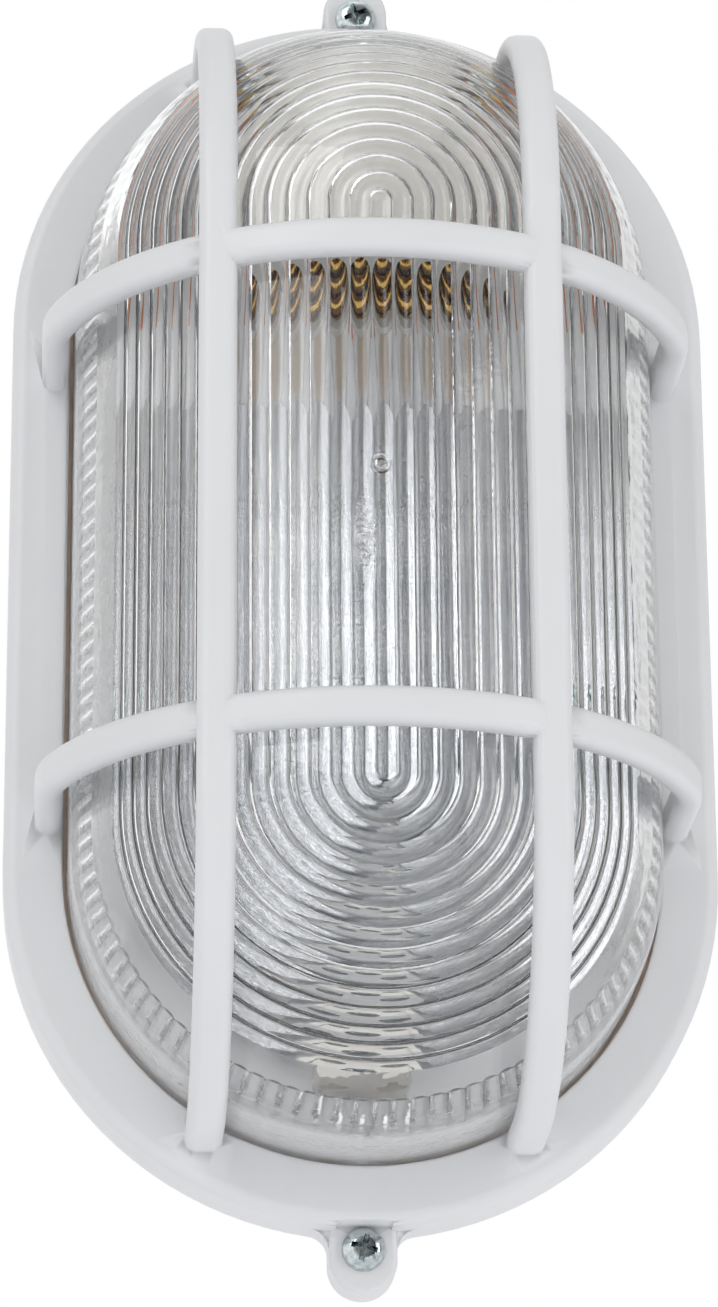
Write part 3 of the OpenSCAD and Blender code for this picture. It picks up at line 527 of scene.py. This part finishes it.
def glass_lens():
    """Pressed glass: a smooth outside, ribs that follow the oval inside, a smooth band and a fluted band.

    The flutes need four times as many steps round the oval as the ribs, so the two are built as rings
    of vertices and stitched, which spin and extrude can't do.
    """
    size = settings()
    outer = size.glass_radius
    inner = outer - size.glass_thickness
    dome = CROWN_DEPTH - outer
    fine = oval_stations(288, 192)
    coarse = fine[::4]
    arc_steps, per_flute = 36, 6
    plain_edge, flutes_start, flute_base = 0.25 * MM, 0.8 * MM, 0.25 * MM
    flutes_end, end_step = 19, 0.4
    rim_thickness, rim_bevel, root_fillet = 2.8 * MM, 0.4 * MM, 0.5 * MM
    mesh = bmesh.new()

    def ring(stations, points):
        """Vertices round the oval, one at each station, each at its own radius and depth."""
        return [mesh.verts.new((across * radius, -depth, middle + up * radius))
                for (middle, across, up), (radius, depth) in zip(stations, points)]

    def even(radius, depth):
        """One ring that follows the oval at one radius and depth."""
        return ring(coarse, [(radius, depth)] * len(coarse))

    def polar(radius, angle):
        """A point of the dome's profile, by its angle up from the wall."""
        return radius * math.cos(math.radians(angle)), dome + radius * math.sin(math.radians(angle))

    def skin(rings):
        """Faces between rings of the same count."""
        for a, b in zip(rings, rings[1:]):
            for i in range(len(a)):
                j = (i + 1) % len(a)
                mesh.faces.new((a[i], b[i], b[j], a[j]))

    def stitch(thin, dense):
        """Faces between a ring and one with four times as many vertices."""
        for i in range(len(thin)):
            j = (i + 1) % len(thin)
            chain = [dense[(4 * i + k) % len(dense)] for k in range(5)]
            mesh.faces.new([thin[i], *chain, thin[j]])

    outside = [even(*polar(outer, 90 - 90 * i / arc_steps)) for i in range(arc_steps + 1)]
    rim_top = RIM_DEPTH + rim_thickness
    fillet_sag = 0.3 * root_fillet
    for radius, depth in ((outer, rim_top + root_fillet), (outer + fillet_sag, rim_top + fillet_sag),
                          (outer + root_fillet, rim_top), (RIM_RADIUS - rim_bevel, rim_top),
                          (RIM_RADIUS, rim_top - rim_bevel), (RIM_RADIUS, RIM_DEPTH + rim_bevel),
                          (RIM_RADIUS - rim_bevel, RIM_DEPTH), (inner + root_fillet, RIM_DEPTH)):
        outside.append(even(radius, depth))
    skin(outside)

    def fluted(angle, depth, lift):
        """One ring of the fluted band, on the dome at an angle or on the wall at a depth."""
        points = []
        for i in range(len(fine)):
            across = 2 * (i % per_flute) / per_flute - 1
            radius = inner - lift * (flute_base + size.flute_height * (1 - across * across))
            points.append(polar(radius, angle) if depth is None else (radius, depth))
        return ring(fine, points)

    band = [fluted(0, RIM_DEPTH + plain_edge, 0.0), fluted(0, RIM_DEPTH + flutes_start, 1.0)]
    band += [fluted(0, RIM_DEPTH + (dome - RIM_DEPTH) * k / 4, 1.0) for k in range(1, 4)]
    band += [fluted(angle, None, 1.0) for angle in (*range(0, flutes_end, 4), flutes_end)]
    band += [fluted(flutes_end + end_step, None, 0.0)]
    skin(band)
    stitch(outside[-1], band[0])

    ribs = [polar(inner, angle) for angle in (flutes_end + 2 * end_step, 22, 24, 26)]
    pitch, steps = 4.0, 8
    rib_chord = inner * math.sin(math.radians(pitch / 2))
    rib_radius = (rib_chord ** 2 + size.rib_height ** 2) / (2 * size.rib_height)
    centre = inner + rib_radius - size.rib_height
    for i in range(size.rib_count - 1, -1, -1):
        for k in range(steps if i else steps // 2 + 1):
            turn = math.radians(pitch * (k / steps - 0.5))
            radius = centre * math.cos(turn) - math.sqrt(rib_radius ** 2 - (centre * math.sin(turn)) ** 2)
            ribs.append(polar(radius, 90 - pitch * i + math.degrees(turn)))
    inside = [even(*point) for point in ribs]
    stitch(inside[0], band[-1])
    skin(inside)
    bmesh.ops.remove_doubles(mesh, verts=mesh.verts, dist=0.004 * MM)
    bmesh.ops.recalc_face_normals(mesh, faces=mesh.faces)
    data = bpy.data.meshes.new("glass_dome")
    mesh.to_mesh(data)
    mesh.free()
    piece = bpy.data.objects.new("glass_dome", data)
    bpy.context.scene.collection.objects.link(piece)
    take(piece)
    bpy.ops.object.shade_smooth_by_angle(angle=math.radians(32))
    return hand_over(piece, "glass_lens")


# Reflector

def reflector():
    """Gull-wing sheet with a fold down its middle, raised sides and a notch for the terminal block."""
    lo, hi = (Vector(corner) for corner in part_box("reflector"))
    land = 4.3 * MM
    half_w = hi.x
    crease, land_in, land_out = 3.7 * MM, 20.8 * MM, 26.6 * MM
    lip = -lo.y - land
    fold_curve, wing_curve = 1.15, 1.1
    thick = 0.5 * MM
    end_z = lo.z + half_w
    tip_gap = 0.02 * MM
    take(None)
    bpy.ops.mesh.primitive_grid_add(x_subdivisions=74, y_subdivisions=102, size=1, location=(0, 0, 0))
    sheet = started("hammered_reflector")
    bpy.ops.object.mode_set(mode="OBJECT")
    for vertex in sheet.data.vertices:
        across, along = vertex.co.x * 2, vertex.co.y + 0.5
        z = lo.z + along * (hi.z - lo.z) + (tip_gap if along == 0 else 0)
        width = half_w if z > end_z else math.sqrt(max(0, half_w ** 2 - (end_z - z) ** 2))
        x = across * width
        far = abs(x)
        if far < land_in:
            depth = land + crease * (1 - far / land_in) ** fold_curve
        elif far < land_out:
            depth = land
        else:
            depth = land + lip * ((far - land_out) / (half_w - land_out)) ** wing_curve
        vertex.co = (x, -depth + thick, z)
    modified(sheet, "SOLIDIFY", thickness=thick * 0.8, offset=0)
    block_edge, _, block_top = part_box("terminal_block")[1]
    notch_half_w, notch_top, notch_reach = block_edge + 1.7 * MM, block_top + 8 * MM, 40 * MM
    take(None)
    bpy.ops.mesh.primitive_cube_add(size=2, location=(0, 0, 0))
    notch = started("notch_cutter")
    bpy.ops.transform.resize(value=(notch_half_w, 20 * MM, notch_reach))
    bpy.ops.object.mode_set(mode="OBJECT")
    cut(sheet, placed(notch, Matrix.Translation((0, 0, notch_top - notch_reach))))
    cleaned(sheet, 40, weighted=False)
    return hand_over(sheet, "reflector")


# Lampholder

def threaded_shell():
    """Rolled brass shell with the lamp cap's coarse round thread, and the ring that it is riveted by."""
    lo, hi = (Vector(corner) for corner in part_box("lampholder_shell"))
    axis_y = (lo.y + hi.y) / 2
    pitch, points = 3.63 * MM, 14
    middle, swing, thick = 12.95 * MM, 0.5 * MM, 0.4 * MM
    ring_r, ring_width, ring_thick = 13.3 * MM, 7.3 * MM, 0.5 * MM
    take(None)
    bpy.ops.mesh.primitive_circle_add(vertices=points + 1, radius=middle)
    shell = started("lampholder_thread")
    mesh = bmesh.from_edit_mesh(shell.data)
    mesh.verts.ensure_lookup_table()
    for i, vertex in enumerate(mesh.verts):
        vertex.co = (middle + swing * math.cos(2 * math.pi * i / points), 0, pitch * (i / points - 1))
    closing = [edge for edge in mesh.edges if abs(edge.verts[0].co.z - edge.verts[1].co.z) > pitch / 2]
    bmesh.ops.delete(mesh, geom=closing, context="EDGES_FACES")
    bmesh.update_edit_mesh(shell.data)
    bpy.ops.object.mode_set(mode="OBJECT")
    turns = math.ceil((hi.z - lo.z) / pitch) + 1
    modified(shell, "SCREW", axis="Z", angle=2 * math.pi, screw_offset=pitch, iterations=turns, steps=72,
             render_steps=72, use_merge_vertices=True, merge_threshold=0.01 * MM)
    bpy.ops.object.mode_set(mode="EDIT")
    for height, upper in ((0.0, False), (hi.z - lo.z - 2 * thick, True)):
        bpy.ops.mesh.select_all(action="SELECT")
        bpy.ops.mesh.bisect(plane_co=(0, 0, height), plane_no=(0, 0, 1), clear_inner=not upper,
                            clear_outer=upper)
    bpy.ops.object.mode_set(mode="OBJECT")
    modified(shell, "SOLIDIFY", thickness=thick, offset=0)
    take(None)
    bpy.ops.mesh.primitive_cylinder_add(vertices=72, radius=ring_r, depth=ring_thick,
                                        location=(0, 0, hi.z - lo.z - ring_thick / 2))
    ring = started("lampholder_eye_ring")
    pick(ring, "FACE", lambda face: abs(face.normal.z) > 0.9)
    bpy.ops.mesh.inset(thickness=ring_width)
    bpy.ops.mesh.bridge_edge_loops()
    bpy.ops.object.mode_set(mode="OBJECT")
    piece = joined([placed(shell, Matrix()), placed(ring, Matrix())], "lampholder_thread")
    placed(piece, Matrix.Translation((0, axis_y, lo.z)))
    cleaned(piece, 40, weighted=False)
    return hand_over(piece, "lampholder_shell")


# Screws

def thread(radius, length, pitch):
    """A V-shaped ridge wound up a shank from its tip, its profile given in pitches outwards and up."""
    profile = ((-0.12, 0.36), (0.28, 0), (-0.12, -0.36))
    take(None)
    bpy.ops.mesh.primitive_circle_add(vertices=3, radius=pitch * 0.42)
    ridge = started("thread_ridge")
    mesh = bmesh.from_edit_mesh(ridge.data)
    for vertex, (out, up) in zip(mesh.verts, profile):
        vertex.co = (radius + out * pitch, 0, -length + up * pitch)
    bmesh.update_edit_mesh(ridge.data)
    bpy.ops.object.mode_set(mode="OBJECT")
    modified(ridge, "SCREW", axis="Z", angle=2 * math.pi, screw_offset=pitch,
             iterations=int(length / pitch - 1.2), steps=24, render_steps=24)
    bpy.ops.object.mode_set(mode="EDIT")
    bpy.ops.mesh.select_all(action="DESELECT")
    bpy.ops.mesh.select_non_manifold()
    bpy.ops.mesh.fill_holes(sides=3)
    bpy.ops.object.mode_set(mode="OBJECT")
    return ridge


def cross_cutter(head_r, head_h):
    """The point of a cross-slot driver: a square core with four arms that narrow downwards."""
    core, arm, narrowed = 0.30 * head_r, 0.60 * head_r, 0.42
    take(None)
    bpy.ops.mesh.primitive_cube_add(size=1, location=(0, 0, 0))
    cutter = started("driver_point")
    bpy.ops.transform.resize(value=(core, core, 1.1 * head_h))
    pick(cutter, "FACE", lambda face: abs(face.normal.z) < 0.5)
    bpy.ops.mesh.extrude_faces_move(TRANSFORM_OT_shrink_fatten={"value": arm})
    pick(cutter, "VERT", lambda vertex: vertex.co.z < 0)
    bpy.ops.transform.resize(value=(narrowed, narrowed, 1))
    bpy.ops.object.mode_set(mode="OBJECT")
    return placed(cutter, Matrix.Translation((0, 0, head_h * 0.75)))


def slot_cutter(head_r, head_h):
    """A blade for a straight slot."""
    blade_w = 0.26 * head_r
    take(None)
    bpy.ops.mesh.primitive_cube_add(size=1)
    cutter = started("driver_blade")
    bpy.ops.transform.resize(value=(3 * head_r, blade_w, head_h))
    bpy.ops.object.mode_set(mode="OBJECT")
    return placed(cutter, Matrix.Translation((0, 0, head_h)))


def screw(name, shank_r, head_r, head_h, length, pan, pitch):
    """One screw along +Z, its head standing on z = 0: head, recess, shank, point and thread."""
    tip, narrowed = shank_r * 0.45, 0.6
    rounding, steps = (0.92, 9) if pan else (0.15, 2)
    take(None)
    bpy.ops.mesh.primitive_cylinder_add(vertices=40, radius=head_r, depth=head_h, location=(0, 0, head_h / 2))
    body = started(name)
    bpy.ops.object.mode_set(mode="OBJECT")
    placed(body, Matrix())
    take(body)
    bpy.ops.object.mode_set(mode="EDIT")
    pick(body, "EDGE", lambda edge: all(v.co.z > head_h * 0.9 for v in edge.verts))
    bpy.ops.mesh.bevel(offset=head_h * rounding, segments=steps)
    pick(body, "FACE", lambda face: face.normal.z < -0.9)
    bpy.ops.mesh.inset(thickness=head_r - shank_r)
    bpy.ops.mesh.extrude_region_move(TRANSFORM_OT_translate={"value": (0, 0, tip - length)})
    bpy.ops.mesh.extrude_region_move(TRANSFORM_OT_translate={"value": (0, 0, -tip)})
    bpy.ops.transform.resize(value=(narrowed, narrowed, 1))
    bpy.ops.object.mode_set(mode="OBJECT")
    cut(body, cross_cutter(head_r, head_h) if pan else slot_cutter(head_r, head_h))
    if length > 3 * pitch:
        body = joined([body, thread(shank_r, length - tip, pitch)], name)
    return cleaned(body, 34)


OUTWARDS = Matrix(((1, 0, 0, 0), (0, 0, -1, 0), (0, 1, 0, 0), (0, 0, 0, 1)))

# Each screw's shank radius, head radius, head height and pitch, in millimetres
COVER_SCREW = (1.75, 3.5, 2.4, 1.3)
SHEET_SCREW = (1.5, 2.8, 1.9, 1.0)
HOLDER_SCREW = (1.5, 2.6, 1.7, 1.0)
FIXING_SCREW = (1.25, 2.3, 1.7, 0.9)
CUP_TERMINAL_SCREW = (1.2, 2.0, 1.4, 0.6)
BLOCK_TERMINAL_SCREW = (1.3, 1.8, 2.2, 0.6)


def fitted_screw(node, sizes, turn, upwards=False):
    """A pan screw in the place of a CAD node, its length taken from the node's box."""
    shank_r, head_r, head_h, pitch = (size * MM for size in sizes)
    lo, hi = (Vector(corner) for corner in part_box(node))
    middle = (lo + hi) / 2
    if upwards:
        seat, length, way = Vector((middle.x, middle.y, hi.z - head_h)), hi.z - head_h - lo.z, Matrix()
    else:
        seat, length, way = Vector((middle.x, lo.y + head_h, middle.z)), hi.y - lo.y - head_h, OUTWARDS
    piece = screw(node + "_finished", shank_r, head_r, head_h, length, pan=True, pitch=pitch)
    placed(piece, Matrix.Translation(seat) @ way @ Matrix.Rotation(math.radians(turn), 4, "Z"))
    return hand_over(piece, node)


def grouped_screws(node, sizes, places, pan):
    """One small screw, copied to each of its places and kept as one group."""
    shank_r, head_r, head_h, pitch = (size * MM for size in sizes)
    lo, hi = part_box(node)
    tip_depth, seat_depth = -hi[1], -lo[1] - head_h
    first = screw(node + "_finished", shank_r, head_r, head_h, seat_depth - tip_depth, pan=pan, pitch=pitch)
    copies = []
    for i, (x, z, turn) in enumerate(places):
        copy = bpy.data.objects.new("%s_%d" % (node, i), first.data.copy())
        bpy.context.scene.collection.objects.link(copy)
        turned = OUTWARDS @ Matrix.Rotation(math.radians(turn), 4, "Z")
        copies.append(placed(copy, Matrix.Translation((x, -seat_depth, z)) @ turned))
    bpy.data.objects.remove(first)
    return hand_over(joined(copies, node + "_finished"), node)


# Operators

class WALL_LIGHT_OT_mouldings(bpy.types.Operator):
    """Guard with its bars, and the base tray, in satin white plastic"""
    bl_idname = "wall_light.mouldings"
    bl_label = "Guard and Base"

    def execute(self, context):
        carried("guard_frame")
        carried("base_housing")
        return {"FINISHED"}


class WALL_LIGHT_OT_glass(bpy.types.Operator):
    """Pressed glass with its ribs, smooth band, fluted band and rim"""
    bl_idname = "wall_light.glass"
    bl_label = "Glass"

    def execute(self, context):
        glass_lens()
        return {"FINISHED"}


class WALL_LIGHT_OT_rubbers(bpy.types.Operator):
    """Seal under the glass, and the cable grommet"""
    bl_idname = "wall_light.rubbers"
    bl_label = "Seal and Grommet"

    def execute(self, context):
        carried("lens_seal")
        carried("cable_grommet", soften=0.2)
        return {"FINISHED"}


class WALL_LIGHT_OT_reflector(bpy.types.Operator):
    """Hammered reflector"""
    bl_idname = "wall_light.reflector"
    bl_label = "Reflector"

    def execute(self, context):
        reflector()
        return {"FINISHED"}


class WALL_LIGHT_OT_lampholder(bpy.types.Operator):
    """Porcelain cup and foot, threaded brass shell, contact, terminals and bracket"""
    bl_idname = "wall_light.lampholder"
    bl_label = "Lampholder"

    def execute(self, context):
        carried("lampholder_body", soften=0.35)
        threaded_shell()
        carried("centre_contact", soften=0.1)
        carried("lampholder_bracket", soften=0.2)
        carried("holder_terminal_left", soften=0.2)
        carried("holder_terminal_right", soften=0.2)
        return {"FINISHED"}


class WALL_LIGHT_OT_terminals(bpy.types.Operator):
    """Terminal block with its two brass tubes"""
    bl_idname = "wall_light.terminals"
    bl_label = "Terminal Block"

    def execute(self, context):
        carried("terminal_block", soften=0.2)
        carried("terminal_tube_left")
        carried("terminal_tube_right")
        return {"FINISHED"}


class WALL_LIGHT_OT_leads(bpy.types.Operator):
    """Two sleeved leads from the terminal block to the lampholder"""
    bl_idname = "wall_light.leads"
    bl_label = "Leads"

    def execute(self, context):
        for node in ("lead_left", "lead_right"):
            carried(node, angle=60)
        return {"FINISHED"}


class WALL_LIGHT_OT_screws(bpy.types.Operator):
    """All screws, each with its recess, point and thread"""
    bl_idname = "wall_light.screws"
    bl_label = "Screws"

    def execute(self, context):
        for node, turn in (("cover_screw_top", 22), ("cover_screw_bottom", -14)):
            fitted_screw(node, COVER_SCREW, turn)
        for node, turn in (("reflector_screw_left", 35), ("reflector_screw_right", 8),
                           ("bracket_screw_left", 15), ("bracket_screw_right", 61)):
            fitted_screw(node, SHEET_SCREW, turn)
        for node, turn in (("lampholder_screw_front", 30), ("lampholder_screw_rear", 72)):
            fitted_screw(node, HOLDER_SCREW, turn, upwards=True)
        fitted_screw("terminal_fixing_screw", FIXING_SCREW, 40)
        lo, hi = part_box("holder_terminal_screws")
        x, z = hi[0] - CUP_TERMINAL_SCREW[1] * MM, (lo[2] + hi[2]) / 2
        grouped_screws("holder_terminal_screws", CUP_TERMINAL_SCREW, ((-x, z, 20), (x, z, 55)), pan=True)
        lo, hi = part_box("terminal_screws")
        head_r = BLOCK_TERMINAL_SCREW[1] * MM
        x, low, high = hi[0] - head_r, lo[2] + head_r, hi[2] - head_r
        places = ((-x, low, 12), (x, low, 80), (-x, high, 50), (x, high, 25))
        grouped_screws("terminal_screws", BLOCK_TERMINAL_SCREW, places, pan=False)
        return {"FINISHED"}


# Stage

KEY_PLACE, KEY_SIZE = (-0.9, -1.3, 1.0), 1.1
FILL_PLACE, FILL_SIZE = (1.3, -1.1, 0.2), 1.0
CAMERA_PLACE = (-0.048453, -0.729517, -0.264898)
ROOM_SIDE = Vector((0.50, -0.83, 0.22)).normalized()


def soft_light(name, place, size, power):
    """A large square light that faces the middle of the wall light."""
    lamp = bpy.data.lights.new(name, "AREA")
    lamp.size = size
    lamp.energy = power
    light = bpy.data.objects.new(name, lamp)
    light.location = place
    light.rotation_euler = (-Vector(place)).to_track_quat("-Z", "Y").to_euler()
    bpy.context.scene.collection.objects.link(light)


def studio_world():
    """White surroundings, with a dim room at the front right and less light at the right in reflections.

    Clear glass keeps the lamps' direct light from what lies behind it, so light that a surface gathers
    through the glass is given more strength.
    """
    around, behind_glass, backdrop = 0.49, 1.7, 1.0
    world = bpy.data.worlds.new("studio")
    bpy.context.scene.world = world
    world.use_nodes = True
    nodes, links = world.node_tree.nodes, world.node_tree.links
    sky = nodes["Background"]
    way = nodes.new("ShaderNodeTexCoord").outputs["Generated"]
    path = nodes.new("ShaderNodeLightPath")

    def maths(operation, first, second):
        node = nodes.new("ShaderNodeMath")
        node.operation = operation
        links.new(first, node.inputs[0])
        links.new(second, node.inputs[1])
        return node.outputs[0]

    def mixed(factor, first, second):
        mix = nodes.new("ShaderNodeMix")
        links.new(factor, mix.inputs["Factor"])
        for slot, value in (("A", first), ("B", second)):
            if isinstance(value, float):
                mix.inputs[slot].default_value = value
            else:
                links.new(value, mix.inputs[slot])
        return mix.outputs["Result"]

    def towards(direction, start, end, low, high):
        """Strength by how far a ray points in a direction."""
        facing = nodes.new("ShaderNodeVectorMath")
        facing.operation = "DOT_PRODUCT"
        facing.inputs[1].default_value = direction
        links.new(way, facing.inputs[0])
        node = nodes.new("ShaderNodeMapRange")
        node.interpolation_type = "SMOOTHSTEP"
        for key, value in (("From Min", start), ("From Max", end), ("To Min", low), ("To Max", high)):
            node.inputs[key].default_value = value
        links.new(facing.outputs["Value"], node.inputs["Value"])
        return node.outputs["Result"]

    mirrored = mixed(path.outputs["Glossy Depth"], 1.0, towards(ROOM_SIDE, 0.97, 0.45, 0.14, 1.1))
    mirrored = maths("MULTIPLY", mirrored, towards((1, 0, 0), 0.1, 0.6, 1.0, 0.68))
    clear = maths("MAXIMUM", path.outputs["Is Glossy Ray"], path.outputs["Is Transmission Ray"])
    light = mixed(clear, around, mirrored)
    through_glass = maths("MULTIPLY", path.outputs["Is Transmission Ray"], path.outputs["Diffuse Depth"])
    light = mixed(through_glass, light, behind_glass)
    links.new(mixed(path.outputs["Is Camera Ray"], light, backdrop), sky.inputs["Strength"])
    sky.inputs["Color"].default_value = (1, 1, 1, 1)


def floor():
    """A pale floor below the camera, that keeps the object's shadow."""
    take(None)
    bpy.ops.mesh.primitive_plane_add(size=4, location=(0, 0, -settings().floor_drop))
    plane = started("studio_floor")
    bpy.ops.object.mode_set(mode="OBJECT")
    placed(plane, Matrix())
    made = Finish("pale_floor", (0.82, 0.82, 0.82), rough=0.7)
    made.colours(made.noise(60, detail=4), (0.3, (0.84, 0.84, 0.84)), (0.7, (0.80, 0.80, 0.80)))
    made.roughness(made.noise(20), 0.6, 0.8)
    made.skin.inputs["Emission Color"].default_value = (0.97, 0.965, 1.0, 1)
    made.skin.inputs["Emission Strength"].default_value = 0.35
    plane.data.materials.append(made.material)


def photo_camera():
    """The camera at the photograph's viewing angle: low, slightly left, with a long lens."""
    right = Vector((0.99789305, -0.06455918, -0.00644828))
    up = Vector((-0.01551631, -0.33397017, 0.94245592))
    ahead = Vector((0.06299771, 0.94037016, 0.33426823))
    data = bpy.data.cameras.new("photo_camera")
    data.sensor_fit = "AUTO"
    data.sensor_width = 36
    data.lens = FOCAL_LENGTH_PX * data.sensor_width / PHOTO_HEIGHT_PX
    data.clip_start = 0.01
    camera = bpy.data.objects.new("photo_camera", data)
    camera.matrix_world = Matrix.Translation(CAMERA_PLACE) @ Matrix((right, up, -ahead)).transposed().to_4x4()
    bpy.context.scene.collection.objects.link(camera)
    bpy.context.scene.camera = camera


class WALL_LIGHT_OT_stage(bpy.types.Operator):
    """Camera, pale floor, soft lights and white surroundings"""
    bl_idname = "wall_light.stage"
    bl_label = "Stage"

    def execute(self, context):
        photo_camera()
        floor()
        studio_world()
        soft_light("key_light", KEY_PLACE, KEY_SIZE, settings().key_power)
        soft_light("fill_light", FILL_PLACE, FILL_SIZE, settings().fill_power)
        context.scene.view_settings.view_transform = "Standard"
        return {"FINISHED"}


OPERATORS = (WALL_LIGHT_OT_stage, WALL_LIGHT_OT_mouldings, WALL_LIGHT_OT_glass, WALL_LIGHT_OT_rubbers,
             WALL_LIGHT_OT_reflector, WALL_LIGHT_OT_lampholder, WALL_LIGHT_OT_terminals, WALL_LIGHT_OT_leads,
             WALL_LIGHT_OT_screws)


class WALL_LIGHT_PT_panel(bpy.types.Panel):
    """Lists the wall light's sizes, colours and pieces."""
    bl_idname = "WALL_LIGHT_PT_panel"
    bl_label = "Wall Light"
    bl_space_type = "VIEW_3D"
    bl_region_type = "UI"
    bl_category = "Wall Light"

    def draw(self, context):
        column = self.layout.column(align=True)
        for name in WallLightSettings.__annotations__:
            column.prop(context.scene.wall_light, name)
        for operator in OPERATORS:
            column.operator(operator.bl_idname)


CLASSES = (WallLightSettings, *OPERATORS, WALL_LIGHT_PT_panel)


def register():
    for made in CLASSES:
        bpy.utils.register_class(made)
    bpy.types.Scene.wall_light = PointerProperty(type=WallLightSettings)


def unregister():
    del bpy.types.Scene.wall_light
    for made in reversed(CLASSES):
        bpy.utils.unregister_class(made)


def main():
    register()
    bpy.ops.wall_light.stage()
    bpy.ops.wall_light.mouldings()
    bpy.ops.wall_light.glass()
    bpy.ops.wall_light.rubbers()
    bpy.ops.wall_light.reflector()
    bpy.ops.wall_light.lampholder()
    bpy.ops.wall_light.terminals()
    bpy.ops.wall_light.leads()
    bpy.ops.wall_light.screws()
    take(None)


if __name__ == "__main__":
    main()
